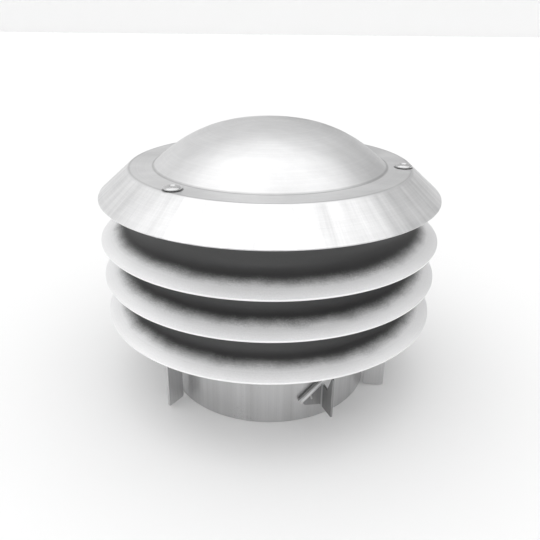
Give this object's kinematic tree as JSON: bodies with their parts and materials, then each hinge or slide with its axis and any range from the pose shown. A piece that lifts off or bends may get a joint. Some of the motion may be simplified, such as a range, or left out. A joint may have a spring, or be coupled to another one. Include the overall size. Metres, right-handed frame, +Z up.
{
  "type": "louvred vent cowl",
  "caption": "Round sheet-aluminium vent cowl: a domed cap and flared louvre rings riveted to upright legs over a short collar that slips on an exhaust pipe.",
  "frame": {"origin": "on the cowl's axis at the collar's bottom edge", "axes": "+Z up the axis towards the dome; -Y is the front, where the collar bracket stands a little to the right"},
  "size_m": [0.1564, 0.1564, 0.1275],
  "materials": {
    "cap_metal": "spun aluminium, satin, cloudy bright patches on the dome",
    "ring_metal": "spun aluminium, satin with a fine grain",
    "collar_metal": "rolled mill-finish aluminium sheet",
    "leg_metal": "mill-finish aluminium sheet, cut edges",
    "rivet_metal": "bright aluminium rivet",
    "bracket_metal": "mill-finish aluminium sheet, folded"
  },
  "bodies": {
    "root": {"cap_shell": "cap_metal", "louvre_ring_upper": "ring_metal", "louvre_ring_middle": "ring_metal", "louvre_ring_lower": "ring_metal", "collar": "collar_metal", "leg_left": "leg_metal", "leg_right": "leg_metal", "leg_rear": "leg_metal", "cap_rivet_left": "rivet_metal", "cap_rivet_right": "rivet_metal", "cap_rivet_rear": "rivet_metal", "ring_rivet_left_upper": "rivet_metal", "ring_rivet_left_middle": "rivet_metal", "ring_rivet_left_lower": "rivet_metal", "ring_rivet_right_upper": "rivet_metal", "ring_rivet_right_middle": "rivet_metal", "ring_rivet_right_lower": "rivet_metal", "ring_rivet_rear_upper": "rivet_metal", "ring_rivet_rear_middle": "rivet_metal", "ring_rivet_rear_lower": "rivet_metal", "collar_rivet_left": "rivet_metal", "collar_rivet_right": "rivet_metal", "collar_rivet_rear": "rivet_metal", "collar_bracket": "bracket_metal"}
  },
  "joints": []
}
